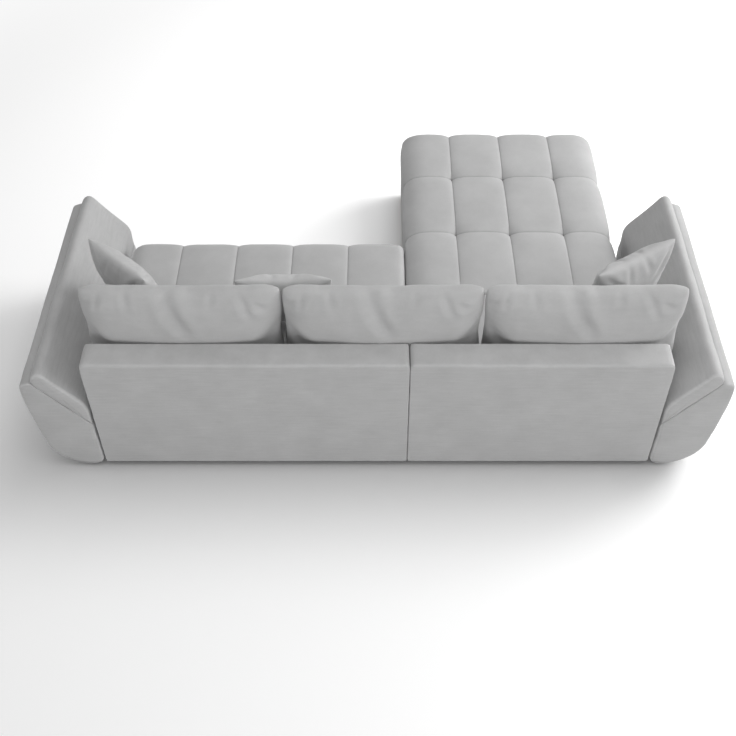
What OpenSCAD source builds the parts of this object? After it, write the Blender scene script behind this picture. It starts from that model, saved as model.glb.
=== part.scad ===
// Corner sofa bed with a chaise: storage box under the chaise lid, pull-out bed drawer
// under the main seat, three loose back cushions and three throw pillows.
// +Z is up, the front faces -Y and the chaise stands on the -X side.
// The origin is on the floor under the middle of the sofa. Millimetres.

/* [Overall] */
// Width over both arms
total_w = 2750; // [2500:10:3000]
// Depth from the rear of the back to the front of the chaise
total_d = 1750; // [1600:10:1900]
// Depth from the rear of the back to the front of the main seat
main_d = 950; // [900:5:1050]
// Height of the seat surface at the crown of a channel
seat_h = 425; // [400:5:460]
// Gap between the floor and the underside of the boxes
floor_gap = 30; // [20:1:50]
// Distance from the middle of the sofa to the joint between main seat and chaise
joint_off = 125; // [60:5:200]

/* [Arms] */
// Width of an arm from its inner face to its widest point
arm_w = 243; // [220:1:270]
// Length of an arm from the rear of the sofa
arm_l = 1060; // [900:10:1150]
// Height of the inner foot of the sloped pad
arm_slope_z = 275; // [250:5:300]
// Rise of the slope from its inner foot to its outer lip
arm_rise = 260; // [230:5:280]
// Run of the slope from its inner foot to its outer lip
arm_run = 195; // [180:1:205]
// Thickness of the sloped pad
arm_pad_t = 68; // [50:1:80]
// Gap between the floor and the underside of an arm
arm_gap = 18; // [12:1:30]
// Radius of the arm's lower outer corner
arm_belly_r = 165; // [140:5:170]
// Thickness of an arm's foam and fabric cover
arm_cover_t = 16; // [10:1:25]

/* [Back] */
// Height of the back above the floor
back_h = 637; // [600:1:680]
// Thickness of the back
back_t = 118; // [100:1:135]
// Amount by which each end of the back leans in at the top
back_lean = 5; // [0:1:30]
// Thickness of the back's foam and fabric cover
back_cover_t = 18; // [10:1:25]
// Width of the posts and rails inside the back
back_rail_w = 60; // [40:1:90]

/* [Seat pads] */
// Distance between the channels of the main seat
main_pitch = 247; // [225:1:260]
// Sewn channels across the main seat
main_seams = 4; // [2:1:4]
// Distance between the sewn seams along the chaise
chaise_pitch = 245; // [225:1:250]
// Sewn seams across the chaise
chaise_seams = 3; // [2:1:3]
// Distance from the chaise's front row seam back to the next one
row_pitch = 396; // [380:1:410]
// Distance from the rear of the sofa to the seam between lid and rear pad
hinge_back = 596; // [570:1:610]
// Depth of a sewn channel below the crown
channel_depth = 14; // [8:1:18]
// Radius of the rolled side edge of a pad
pad_edge_r = 38; // [25:1:45]
// Radius of the rolled front edge of a pad
pad_front_r = 70; // [50:1:75]
// Radius of the rolled edge along the lid's hinge line
hinge_edge_r = 18; // [16:1:22]
// Space between an arm and the main seat's pad
arm_clear = 35; // [25:1:45]
// Space between an arm and the chaise box, which lets the lid open
chaise_clear = 50; // [30:1:60]

/* [Boards] */
// Thickness of side boards and front boards
board_t = 18; // [15:1:22]
// Thickness of bottoms and platforms
ply_t = 12; // [9:1:15]
// Thickness of the seat frame and of the lid board
deck_t = 24; // [18:1:30]
// Thickness of the padded cover on front and side boards
face_pad_t = 12; // [6:1:16]

/* [Bed drawer] */
// Room between the mattress and the seat frame above it
mattress_clear = 7.7; // [5:0.1:20]
// Depth of the mattress from front to rear
mattress_d = 600; // [500:10:620]
// Radius of a castor wheel
wheel_r = 20; // [15:1:22]
// Width of a castor wheel
wheel_w = 20; // [14:1:26]
// Distance between the two pivots of a lifting link
link_l = 210; // [180:5:230]

/* [Cushions] */
// Reach of the cushion row over the arm pad beside the chaise
cushion_over = 45; // [0:1:45]
// Space between the cushion row and the other arm
cushion_end = 3; // [2:1:60]
// Height of a back cushion over its corner ears
cushion_h = 430; // [400:2:460]
// Thickness of a back cushion at its crown
cushion_t = 200; // [160:2:215]
// Side of a square throw pillow over its corner ears
pillow_w = 384; // [360:2:400]
// Thickness of a throw pillow at its crown
pillow_t = 145; // [120:1:150]

/* [Fit] */
// Running gap between pieces that move past each other
run_gap = 0.3; // [0.2:0.05:0.6]
// Radial gap of a shaft in its bore
bore_gap = 0.05; // [0.02:0.01:0.1]
// Gap between two loose cushions side by side
side_gap = 4; // [2:0.5:10]

/* [Hidden] */

// Colours
fabric_c = [0.72, 0.72, 0.72];
fabric_light_c = [0.78, 0.78, 0.78];
wood_c = [0.80, 0.68, 0.50];
steel_c = [0.55, 0.57, 0.60];
plastic_c = [0.15, 0.15, 0.16];
mattress_c = [0.92, 0.91, 0.88];

// Main planes. "b" values are distances from the rear of the sofa, turned to Y by at_b.
rear_y = total_d / 2;
function at_b(b) = rear_y - b;
inner_x = total_w / 2 - arm_w;      // inner face of each arm
body_x = inner_x - 5;               // outer face of the boxes, 5 mm inside the arms
joint_x = -joint_off;               // joint between chaise (-X) and main seat (+X)
joint_gap = 2;                      // half of it lies on each side of the joint
pad_x = inner_x - arm_clear;        // outer side of the main seat's pad
pad_in = 8;                         // pads stay this far inside the faces below them
deck_top = seat_h - 145;            // top of the seat frame and of the lid board
deck_z = deck_top - deck_t;         // underside of both
box_top = deck_z - run_gap;         // top of the boards that carry the lid
slit = 1;                           // gap between covers that lie side by side
fine = 48;                          // facets of a small round part

// Places of the main box
main_x0 = joint_x + joint_gap;      // inner end, next to the chaise
main_x1 = body_x;                   // outer end, next to the arm
main_b0 = back_t + run_gap;         // rear, in front of the back
face_b = main_d;                    // front of the upholstered drawer face

// Places of the chaise box
chaise_x0 = chaise_clear - inner_x;
chaise_x1 = joint_x - joint_gap;
chaise_in0 = chaise_x0 + face_pad_t + board_t;   // inside of the outer side board
chaise_in1 = chaise_x1 - face_pad_t - board_t;   // inside of the inner side board
chaise_front = total_d - face_pad_t;             // front of the front board

// Lid hinge: the axis lies in the seam, below the rolled edges of both pads
hinge_z = seat_h - 20;
hinge_r = 5;
hinge_pin_r = 2.5;
leaf_t = 2;
leaf_slack = 0.4;                   // gap between the two leaves
leaf_w = 96;
leaf_face = leaf_slack / 2 + leaf_t;
hinge_at = [0.15, 0.5, 0.85];       // places of the hinges along the lid
knuckles = 5;

// Outline of an arm. Points are [distance outward from the inner face, height].
function arc(c, r, a0, a1, n) = [for (i = [0:n]) let (a = a0 + (a1 - a0) * i / n)
    [c[0] + r * cos(a), c[1] + r * sin(a)]];
lip_w = 46;                         // width of the lip outside the sloped pad
lip_drop = 25;                      // drop of the lip to the arm's outer edge
toe_r = 34;                         // radius of the arm's lower inner corner
belly_c = [arm_w - lip_drop - 5 - arm_belly_r, arm_gap + arm_belly_r];
arm_outline = concat(
    arc([toe_r, arm_gap + toe_r], toe_r, 180, 270, 6),
    arc(belly_c, arm_belly_r, -90, 6, 14),
    [[arm_w - 1, arm_slope_z + arm_rise - 85],
     [arm_w, arm_slope_z + arm_rise - 55],
     [arm_w - 2, arm_slope_z + arm_rise - lip_drop],
     [arm_w - 8, arm_slope_z + arm_rise - lip_drop / 2],
     [arm_run, arm_slope_z + arm_rise],
     [0, arm_slope_z]]);

// A closed convex outline drawn in by d all round
function unit(v) = v / norm(v);
function normal_in(p, i) = let (n = len(p), e = unit(p[(i + 1) % n] - p[i])) [-e[1], e[0]];
function inset(p, d) = let (n = len(p)) [for (i = [0:n - 1])
    let (a = normal_in(p, (i + n - 1) % n), b = normal_in(p, i), m = a + b)
    p[i] + m * 2 * d / (m * m)];

// Outline of the sloped pad, which lies on the slope from foot to lip
slope_len = norm([arm_run, arm_rise]);
slope_dir = [arm_run, arm_rise] / slope_len;
slope_up = [-slope_dir[1], slope_dir[0]];
function on_slope(along, up) = [0, arm_slope_z] + slope_dir * along + slope_up * up;
pad_foot_r = 95;
pad_head_r = 26;
pad_face = 2;                       // the pad's inner face stands this far outside inner_x
foot_up = arm_pad_t - pad_foot_r;
foot_c = on_slope((pad_foot_r + pad_face - slope_up[0] * foot_up) / slope_dir[0], foot_up);
head_c = on_slope(slope_len - 4, arm_pad_t - pad_head_r);
slope_a = atan2(slope_dir[1], slope_dir[0]);
pad_outline = concat(
    [[pad_face, arm_slope_z + 1.8 * pad_face]],
    [on_slope(slope_len - 2, 0.8)],
    [on_slope(slope_len + 16, 16)],
    arc(head_c, pad_head_r, slope_a - 5, slope_a + 90, 8),
    arc(foot_c, pad_foot_r, slope_a + 90, 180, 8));

// Arm pieces are drawn for the arm on the +X side, from its rear end to its front end
module along_arm(b0, b1) {
    translate([inner_x, at_b(b0), 0]) rotate([90, 0, 0]) linear_extrude(b1 - b0) children();
}
rib_t = board_t;
rib_in = arm_cover_t;
ribs_b = [for (i = [0:3]) arm_cover_t + (arm_l - 2 * arm_cover_t - rib_t) * i / 3];
arm_rail_h = 60;
arm_rail_z = [70, 190];
module arm_frame_shape() {
    for (b = ribs_b) along_arm(b, b + rib_t) polygon(inset(arm_outline, rib_in));
    for (z = arm_rail_z)
        translate([inner_x + rib_in, at_b(arm_l - arm_cover_t), z])
            cube([board_t, arm_l - 2 * arm_cover_t, arm_rail_h]);
}
module arm_cover_shape() difference() {
    along_arm(0, arm_l) polygon(arm_outline);
    along_arm(arm_cover_t, arm_l - arm_cover_t) polygon(inset(arm_outline, arm_cover_t));
    arm_bolt_cut();
}
pad_end_in = 5;                     // the pad's ends lie this far inside the cover's ends
module arm_pad_shape() along_arm(pad_end_in, arm_l - pad_end_in) polygon(pad_outline);

// Bolts that join arms, back and boxes
bolt_r = 4;
bolt_head_r = 8;
bolt_head_t = 5;
bolt_z = 100;
arm_bolt_b = [230, 530, 830];
module arm_bolt_cut() {
    for (b = arm_bolt_b) translate([inner_x - 100, at_b(b), bolt_z])
        rotate([0, 90, 0]) cylinder(r = bolt_r, h = 100 + arm_cover_t + board_t, $fn = fine);
}

// Back: one section behind each seat, each a ladder frame in a padded cover
function back_end_x(z) = body_x - back_lean * (z - floor_gap) / (back_h - floor_gap);
back_round = 14;
// Outline of a section seen from behind, from the joint to its outer end
function back_outline(x0, d) = [
    [x0 + d, floor_gap + d], [back_end_x(floor_gap) - d, floor_gap + d],
    [back_end_x(back_h - back_round) - d, back_h - back_round - d],
    [back_end_x(back_h) - back_round * 0.3 - d, back_h - back_round * 0.3 - d],
    [back_end_x(back_h) - back_round - d, back_h - d],
    [x0 + back_round * 0.6 + d, back_h - d], [x0 + d, back_h - back_round * 0.6 - d]];
module back_slab(x0, d, b0, b1) {
    translate([0, at_b(b0), 0]) rotate([90, 0, 0]) linear_extrude(b1 - b0)
        polygon(back_outline(x0, d));
}
// The cover's long upper edges are rounded off by this cut
module edge_round(r) difference() {
    translate([-r, -r, -total_w]) cube([2 * r, 2 * r, 2 * total_w]);
    translate([-r, -r, -total_w - 1]) cylinder(r = r, h = 2 * total_w + 2, $fn = fine);
}
module back_cover_shape(x0) difference() {
    back_slab(x0, 0, 0, back_t);
    back_slab(x0, back_cover_t, back_cover_t, back_t - back_cover_t);
    translate([0, at_b(0), back_h]) rotate([0, 90, 0]) rotate(90) edge_round(back_round);
    translate([0, at_b(back_t), back_h]) rotate([0, 90, 0]) rotate(180) edge_round(back_round);
}
module back_frame_shape(x0) {
    b0 = back_cover_t;
    t = back_t - 2 * back_cover_t;
    z0 = floor_gap + back_cover_t;
    z1 = back_h - back_cover_t - back_round * 0.6;
    x1 = back_end_x(back_h) - back_cover_t - back_round;
    xa = x0 + back_cover_t;
    for (z = [z0, (z0 + z1 - back_rail_w) / 2, z1 - back_rail_w])
        translate([xa, at_b(b0 + t), z]) cube([x1 - xa, t, back_rail_w]);
    for (x = [xa, (xa + x1 - back_rail_w) / 2, x1 - back_rail_w])
        translate([x, at_b(b0 + t), z0]) cube([back_rail_w, t, z1 - z0]);
}

// A board given by its X span, its distances from the rear and its heights
module board(x0, x1, b0, b1, z0, z1) {
    translate([x0, at_b(b1), z0]) cube([x1 - x0, b1 - b0, z1 - z0]);
}

// Tufted pad: a height field over cells, with a rolled edge on each side
cell_steps = [0, 0.05, 0.16, 0.34, 0.5, 0.66, 0.84, 0.95];
function pad_lines(s) = concat([for (i = [0:len(s) - 2], f = cell_steps)
    s[i] + f * (s[i + 1] - s[i])], [s[len(s) - 1]]);
function cell_of(s, a) = max([for (i = [0:len(s) - 2]) s[i] <= a + 0.001 ? i : 0]);
function puff(s, a) = let (i = cell_of(s, a), t = (a - s[i]) / (s[i + 1] - s[i]))
    sqrt(max(0, 1 - pow(abs(2 * t - 1), 2.6)));
function roll(d, r) = d >= r ? 0 : r * (1 - sqrt(max(0, 1 - pow(1 - d / r, 2))));
// sx, sy: cell borders; rx, ry: edge radii at the low and high side
function pad_height(sx, sy, rx, ry, x, y) =
    let (qx = 1 - puff(sx, x), qy = 1 - puff(sy, y), n = len(sx) - 1, m = len(sy) - 1)
    seat_h - channel_depth * (qx + qy - 0.35 * qx * qy)
    - roll(x - sx[0], rx[0]) - roll(sx[n] - x, rx[1])
    - roll(y - sy[0], ry[0]) - roll(sy[m] - y, ry[1]);
module tufted_pad(sx, sy, rx, ry, z0) {
    lx = pad_lines(sx);
    ly = pad_lines(sy);
    n = len(lx);
    m = len(ly);
    top = [for (y = ly, x = lx) [x, y, pad_height(sx, sy, rx, ry, x, y)]];
    rim = concat([for (i = [0:n - 2]) i], [for (j = [0:m - 2]) j * n + n - 1],
        [for (i = [n - 1:-1:1]) (m - 1) * n + i], [for (j = [m - 1:-1:1]) j * n]);
    k = len(rim);
    low = [for (i = rim) [top[i][0], top[i][1], z0]];
    middle = [(sx[0] + sx[len(sx) - 1]) / 2, (sy[0] + sy[len(sy) - 1]) / 2, z0];
    polyhedron(concat(top, low, [middle]), concat(
        [for (j = [0:m - 2], i = [0:n - 2]) [j * n + i, (j + 1) * n + i + 1, j * n + i + 1]],
        [for (j = [0:m - 2], i = [0:n - 2]) [j * n + i, (j + 1) * n + i, (j + 1) * n + i + 1]],
        [for (i = [0:k - 1]) [rim[i], rim[(i + 1) % k], n * m + i]],
        [for (i = [0:k - 1]) [rim[(i + 1) % k], n * m + (i + 1) % k, n * m + i]],
        [for (i = [0:k - 1]) [n * m + k, n * m + i, n * m + (i + 1) % k]]));
}

// Loose cushion: crowned on both sides, drawn in between its corner ears, standing on a
// flattened lower edge. Its middle is the origin, its width along X and height along Z.
cushion_seam = 2;                   // half thickness of the sewn edge
function across(n) = [for (i = [0:n]) sin(-90 + 180 * i / n)];
function crown(u, v) = pow(max(0, 1 - pow(abs(u), 2.4)), 0.5)
    * pow(max(0, 1 - pow(abs(v), 2.2)), 0.5);
module loose_cushion(w, h, t, pull, taper, flat, n, m) {
    v0 = 2 * flat / h - 1;
    us = across(n);
    vs = [for (s = across(m)) v0 + (1 - v0) * (1 + s) / 2];
    function px(u, v) = w / 2 * u * (1 - pull * (1 - v * v)) * (1 - taper * (1 - v) / 2);
    function edge(u) = h / 2 * (1 - pull * (1 - u * u));
    function pz(u, v) = let (low = max(-edge(u), flat - h / 2))
        low + (edge(u) - low) * (v - v0) / (1 - v0);
    function half(u, v) = cushion_seam + (t / 2 - cushion_seam) * crown(u, v);
    a = n + 1;
    size = a * (m + 1);
    face = [for (v = vs, u = us) [px(u, v), -half(u, v), pz(u, v)]];
    rear = [for (p = face) [p[0], -p[1], p[2]]];
    rim = concat([for (i = [0:n - 1]) i], [for (j = [0:m - 1]) j * a + n],
        [for (i = [n:-1:1]) m * a + i], [for (j = [m:-1:1]) j * a]);
    k = len(rim);
    // The two triangles of a cell, mirrored about the cushion's middle
    function cell(i, j) = let (p = j * a + i, q = p + a)
        i < n / 2 ? [[p, q, q + 1], [p, q + 1, p + 1]] : [[p, q, p + 1], [p + 1, q, q + 1]];
    front = [for (j = [0:m - 1], i = [0:n - 1], t = cell(i, j)) t];
    polyhedron(concat(face, rear), concat(
        front,
        [for (t = front) [size + t[0], size + t[2], size + t[1]]],
        [for (i = [0:k - 1]) [rim[i], rim[(i + 1) % k], size + rim[i]]],
        [for (i = [0:k - 1]) [rim[(i + 1) % k], size + rim[(i + 1) % k], size + rim[i]]]));
}

// Arms
module arm_frame_left() color(wood_c) difference() {
    arm_frame_shape();
    arm_bolt_cut();
}
module arm_frame_right() mirror([1, 0, 0]) arm_frame_left();
module arm_cover_left() color(fabric_c) arm_cover_shape();
module arm_cover_right() mirror([1, 0, 0]) arm_cover_left();
module arm_pad_left() color(fabric_light_c) arm_pad_shape();
module arm_pad_right() mirror([1, 0, 0]) arm_pad_left();

// Back
module back_frame_main() color(wood_c) back_frame_shape(joint_x + slit / 2);
module back_frame_chaise() color(wood_c) mirror([1, 0, 0]) back_frame_shape(joint_off + slit / 2);
module back_cover_main() color(fabric_c) back_cover_shape(joint_x + slit / 2);
module back_cover_chaise() color(fabric_c) mirror([1, 0, 0]) back_cover_shape(joint_off + slit / 2);

// Main seat: two side boards and a rear rail carry the slatted frame and the channelled pad
side_end_b = face_b - face_pad_t - board_t - 4;
module seat_side_outer() color(wood_c) difference() {
    board(main_x1 - board_t, main_x1, main_b0, side_end_b, floor_gap, deck_z);
    arm_bolt_cut();
}
module seat_side_inner() color(wood_c)
    board(main_x0, main_x0 + board_t, main_b0, side_end_b, floor_gap, deck_z);
module seat_rear_rail() color(wood_c)
    board(main_x0 + board_t, main_x1 - board_t, main_b0, main_b0 + board_t,
        floor_gap, deck_z);
frame_rail = 70;                    // width of the rails of the seat frame
frame_b1 = face_b - 30;
slat_n = 9;
slat_w = 50;
slat_t = 10;
module seat_frame() color(wood_c) difference() {
    board(main_x0, main_x1, main_b0, frame_b1, deck_z, deck_top);
    board(main_x0 + frame_rail, main_x1 - frame_rail, main_b0 + frame_rail,
        frame_b1 - frame_rail, deck_z - 1, deck_top + 1);
    seat_slat_set(0.2);
}
module seat_slat_set(gap) {
    room = main_x1 - main_x0 - 2 * frame_rail - slat_w;
    for (i = [0:slat_n - 1])
        translate([main_x0 + frame_rail + room * i / (slat_n - 1) - gap,
            at_b(frame_b1 - 25) - gap, deck_top - slat_t - gap])
            cube([slat_w + 2 * gap, frame_b1 - main_b0 - 50 + 2 * gap, slat_t + 2 * gap]);
}
module seat_slats() color(wood_c) seat_slat_set(0);
main_pad_x0 = main_x0 + pad_in / 2;
main_sx = concat([for (i = [0:main_seams]) main_pad_x0 + main_pitch * i], [pad_x]);
module seat_pad() color(fabric_light_c)
    tufted_pad(main_sx, [at_b(face_b - pad_in / 2), at_b(hinge_back), at_b(main_b0 + 1)],
        [pad_edge_r / 2, pad_edge_r], [pad_front_r, pad_edge_r / 2], deck_top + run_gap);

// Steel channels on the side boards guide the drawer's runners
guide_h = 36;
guide_d = 15;
guide_wall = 2;
guide_z = 120;
guide_b0 = main_b0 + board_t + 10;
guide_b1 = side_end_b - 20;
module guide_rail() translate([0, at_b(guide_b1), guide_z]) difference() {
    cube([guide_d, guide_b1 - guide_b0, guide_h]);
    translate([guide_wall, -1, guide_wall])
        cube([guide_d, guide_b1 - guide_b0 + 2, guide_h - 2 * guide_wall]);
}
module guide_rails() color(steel_c) {
    translate([main_x0 + board_t, 0, 0]) guide_rail();
    translate([main_x1 - board_t, 0, 0]) mirror([1, 0, 0]) guide_rail();
}

// Bed drawer
drawer_x0 = main_x0 + board_t + guide_d + 3;
drawer_x1 = main_x1 - board_t - guide_d - 3;
drawer_b0 = main_b0 + board_t + 30;
front_b1 = face_b - face_pad_t;
front_b0 = front_b1 - board_t;
drawer_z = floor_gap + 14;
drawer_side_h = 120;
face_top = deck_z - 3;              // the drawer face ends just below the seat frame
face_x0 = main_x0 + 2;
face_x1 = main_x1 - 4;
module drawer_front_board() color(wood_c)
    board(face_x0 + 4, face_x1 - 4, front_b0, front_b1, floor_gap + 4, face_top - 4);
module drawer_front_face() color(fabric_c) difference() {
    board(face_x0, face_x1, front_b0 + 4, face_b, floor_gap, face_top);
    board(face_x0 + 4, face_x1 - 4, front_b0, front_b1, floor_gap + 4, face_top - 4);
}
module drawer_side(x) board(x, x + board_t, drawer_b0, front_b0, drawer_z, drawer_z + drawer_side_h);
module drawer_side_outer() color(wood_c) drawer_side(drawer_x1 - board_t);
module drawer_side_inner() color(wood_c) drawer_side(drawer_x0);
module drawer_bottom() color(wood_c)
    board(drawer_x0 + board_t, drawer_x1 - board_t, drawer_b0 + board_t, front_b0,
        drawer_z, drawer_z + ply_t);
module drawer_rear_board() color(wood_c)
    board(drawer_x0 + board_t, drawer_x1 - board_t, drawer_b0, drawer_b0 + board_t,
        drawer_z, drawer_z + drawer_side_h);
runner_h = guide_h - 2 * guide_wall - 2 * run_gap;
runner_reach = guide_d - guide_wall + 3 - run_gap;
module drawer_runners() color(plastic_c) {
    for (side = [0, 1]) {
        x = side == 0 ? drawer_x0 - runner_reach : drawer_x1;
        translate([x, at_b(guide_b0 + 260), guide_z + guide_wall + run_gap])
            cube([runner_reach, 240, runner_h]);
    }
}
// Pull loop on the drawer's face
strap_w = 40;
strap_t = 3;
strap_r = 25;
strap_root = 8;
strap_x = (face_x0 + face_x1) / 2;
strap_z = face_top - 90;
module strap_shape(r, root) {
    translate([0, strap_r - r]) square([root, 2 * r]);
    translate([root, strap_r]) circle(r = r, $fn = fine);
}
module drawer_strap() color(plastic_c)
    translate([strap_x + strap_w / 2, at_b(face_b), strap_z])
        rotate([90, 0, -90]) linear_extrude(strap_w) difference() {
            intersection() {
                strap_shape(strap_r, strap_root);
                square(3 * strap_r);
            }
            intersection() {
                strap_shape(strap_r - strap_t, strap_root);
                translate([strap_t, 0]) square(3 * strap_r);
            }
        }

// Castors under the drawer
axle_r = 3;
fork_wall = 3;
castor_x = [drawer_x0 + 120, drawer_x1 - 120];
castor_b = [drawer_b0 + 110, front_b0 - 90];
fork_half = wheel_w / 2 + 1;
module castor_place(i) translate([castor_x[i % 2], at_b(castor_b[floor(i / 2)]), wheel_r])
    children();
module castor_fork() {
    for (s = [-1, 1]) translate([s * (fork_half + fork_wall / 2) - fork_wall / 2, -8, -5])
        cube([fork_wall, 16, drawer_z - wheel_r + 5]);
    translate([-fork_half - fork_wall, -8, drawer_z - wheel_r - fork_wall])
        cube([2 * (fork_half + fork_wall), 16, fork_wall]);
    translate([-fork_half - fork_wall, 0, 0]) rotate([0, 90, 0])
        cylinder(r = axle_r, h = 2 * (fork_half + fork_wall), $fn = fine);
}
module castor_forks() color(steel_c) for (i = [0:3]) castor_place(i) castor_fork();
module castor_wheel(i) color(plastic_c) castor_place(i) rotate([0, 90, 0]) difference() {
    cylinder(r = wheel_r, h = wheel_w, center = true, $fn = 64);
    cylinder(r = axle_r + bore_gap, h = wheel_w + 2, center = true, $fn = fine);
}
module castor_wheel_1() castor_wheel(0);
module castor_wheel_2() castor_wheel(1);
module castor_wheel_3() castor_wheel(2);
module castor_wheel_4() castor_wheel(3);

// Lifting links lie flat under the platform, each between two brackets
platform_z = drawer_z + ply_t + 40;
link_t = 5;
link_h = 18;
link_z = drawer_z + ply_t + 20;
pivot_r = 4;
bracket_t = 4;
mattress_b1 = front_b0 - 10;
mattress_b0 = mattress_b1 - mattress_d;
mattress_x0 = drawer_x0 + board_t + 8;
mattress_x1 = drawer_x1 - board_t - 8;
link_x = [mattress_x0 + 40, mattress_x1 - 40];
link_b = [mattress_b0 + 20, mattress_b1 - link_l - 40];
module link_place() for (x = link_x, b = link_b) translate([x, at_b(b), link_z]) children();
module lift_bar() rotate([0, 90, 0]) difference() {
    linear_extrude(link_t, center = true) union() {
        circle(r = link_h / 2, $fn = fine);
        translate([0, -link_l]) circle(r = link_h / 2, $fn = fine);
        translate([-link_h / 2, -link_l]) square([link_h, link_l]);
    }
    for (d = [0, link_l]) translate([0, -d, -link_t])
        cylinder(r = pivot_r + bore_gap, h = 2 * link_t, $fn = fine);
}
module lift_links() color(steel_c) link_place() lift_bar();
// Lower brackets stand on the drawer's bottom, upper ones hang from the platform
module lift_ear(h, up) {
    x = link_t / 2 + 1;
    translate([x, -10, up ? -9 : -h]) cube([bracket_t, 20, h + 9]);
    translate([-link_t / 2 - 1, 0, 0]) rotate([0, 90, 0])
        cylinder(r = pivot_r, h = link_t + 2 + bracket_t, $fn = fine);
}
module lift_brackets() color(steel_c) link_place() {
    lift_ear(link_z - drawer_z - ply_t, false);
    translate([0, -link_l, 0]) lift_ear(platform_z - link_z, true);
}
module mattress_platform() color(wood_c)
    board(mattress_x0, mattress_x1, mattress_b0, mattress_b1, platform_z, platform_z + ply_t);
mattress_z = platform_z + ply_t + run_gap;
mattress_t = deck_z - mattress_clear - mattress_z;
module mattress() color(mattress_c) hull() {
    for (x = [mattress_x0 + 20, mattress_x1 - 20], b = [mattress_b0 + 20, mattress_b1 - 20])
        translate([x, at_b(b), mattress_z]) {
            cylinder(r = 12, h = 1, $fn = 24);
            translate([0, 0, 10]) cylinder(r = 20, h = mattress_t - 20, $fn = 24);
            translate([0, 0, mattress_t - 1]) cylinder(r = 12, h = 1, $fn = 24);
        }
}

// Chaise: a storage box under the lid and a fixed seat in front of the back
rear_b0 = main_b0;
divide_b = hinge_back - leaf_face;   // front of the fixed rear deck and board
lid_b0 = hinge_back + leaf_face;     // rear of the lid board
module chaise_side_outer() color(wood_c) difference() {
    board(chaise_x0 + face_pad_t, chaise_in0, rear_b0, chaise_front - board_t,
        floor_gap, box_top);
    mirror([1, 0, 0]) arm_bolt_cut();
}
module chaise_side_inner() color(wood_c)
    board(chaise_in1, chaise_in1 + board_t, rear_b0, chaise_front - board_t,
        floor_gap, box_top);
module chaise_front_board() color(wood_c)
    board(chaise_x0 + face_pad_t, chaise_x1 - face_pad_t, chaise_front - board_t,
        chaise_front, floor_gap, box_top);
module chaise_rear_board() color(wood_c)
    board(chaise_in0, chaise_in1, divide_b - board_t, divide_b, floor_gap + ply_t, box_top);
module chaise_bottom() color(wood_c)
    board(chaise_in0, chaise_in1, divide_b - board_t, chaise_front - board_t,
        floor_gap, floor_gap + ply_t);
module chaise_rear_deck() color(wood_c)
    board(chaise_x0 + face_pad_t, chaise_x1 - face_pad_t, rear_b0, divide_b,
        box_top, deck_top);
edge_col = 234;                     // width of the chaise's column along the joint
chaise_sx = concat([chaise_x0 + pad_in],
    [for (i = [chaise_seams - 1:-1:0]) chaise_x1 - edge_col - chaise_pitch * i], [chaise_x1]);
rear_pad_b1 = hinge_back - leaf_face - run_gap;
lid_pad_b0 = hinge_back + leaf_face + run_gap;
module chaise_rear_pad() color(fabric_light_c)
    tufted_pad(chaise_sx, [at_b(rear_pad_b1), at_b(rear_b0 + 1)],
        [pad_edge_r, pad_edge_r], [hinge_edge_r, pad_edge_r / 2], deck_top + run_gap);
// Padded faces of the box
face_z1 = deck_z - run_gap;
module chaise_face_front() color(fabric_c)
    board(chaise_x0, chaise_x1, chaise_front, total_d, floor_gap, face_z1);
module chaise_face_inner() color(fabric_c)
    board(chaise_x1 - face_pad_t, chaise_x1, rear_b0, chaise_front, floor_gap, face_z1);
module chaise_face_outer() color(fabric_c) difference() {
    board(chaise_x0, chaise_x0 + face_pad_t, rear_b0, chaise_front, floor_gap, face_z1);
    mirror([1, 0, 0]) arm_bolt_cut();
}

// Lid of the storage box
lid_rows = [at_b(total_d - pad_in), at_b(hinge_back + 2 * row_pitch), at_b(hinge_back + row_pitch),
    at_b(lid_pad_b0)];
module lid_board() color(wood_c)
    board(chaise_x0 + face_pad_t, chaise_x1 - 1, lid_b0, total_d - 3, deck_z, deck_top);
module lid_pad() color(fabric_light_c)
    tufted_pad(chaise_sx, lid_rows, [pad_edge_r, pad_edge_r], [pad_front_r, hinge_edge_r],
        deck_top + run_gap);

// Lid hinges: a tall leaf on each side of the seam, knuckles and a pin at the top
hinge_span = chaise_x1 - chaise_x0;
leaf_foot = deck_z + 2;
knuckle_w = leaf_w / knuckles;
module hinge_place() for (f = hinge_at)
    translate([chaise_x0 + hinge_span * f - leaf_w / 2, at_b(hinge_back), 0]) children();
// side is +1 for the fixed leaf behind the seam and -1 for the lid's leaf
module hinge_leaf(side, first, bore) {
    lug = hinge_r + 1.5;
    y0 = side > 0 ? leaf_slack / 2 : -leaf_slack / 2 - leaf_t;
    translate([0, y0, leaf_foot]) cube([leaf_w, leaf_t, hinge_z - lug - leaf_foot]);
    for (i = [first:2:knuckles - 1]) translate([i * knuckle_w + run_gap / 2, 0, 0]) {
        difference() {
            union() {
                translate([0, y0, hinge_z - lug - 1])
                    cube([knuckle_w - run_gap, leaf_t, lug]);
                translate([0, 0, hinge_z]) rotate([0, 90, 0])
                    cylinder(r = hinge_r, h = knuckle_w - run_gap, $fn = fine);
            }
            translate([-1, 0, hinge_z]) rotate([0, 90, 0])
                cylinder(r = bore, h = knuckle_w + 2, $fn = fine);
        }
    }
}
module lid_hinges_fixed() color(steel_c) hinge_place() {
    hinge_leaf(1, 0, hinge_pin_r / 2);
    translate([0, 0, hinge_z]) rotate([0, 90, 0])
        cylinder(r = hinge_pin_r, h = leaf_w, $fn = fine);
}
module lid_hinges_moving() color(steel_c) hinge_place()
    hinge_leaf(-1, 1, hinge_pin_r + bore_gap);

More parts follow.
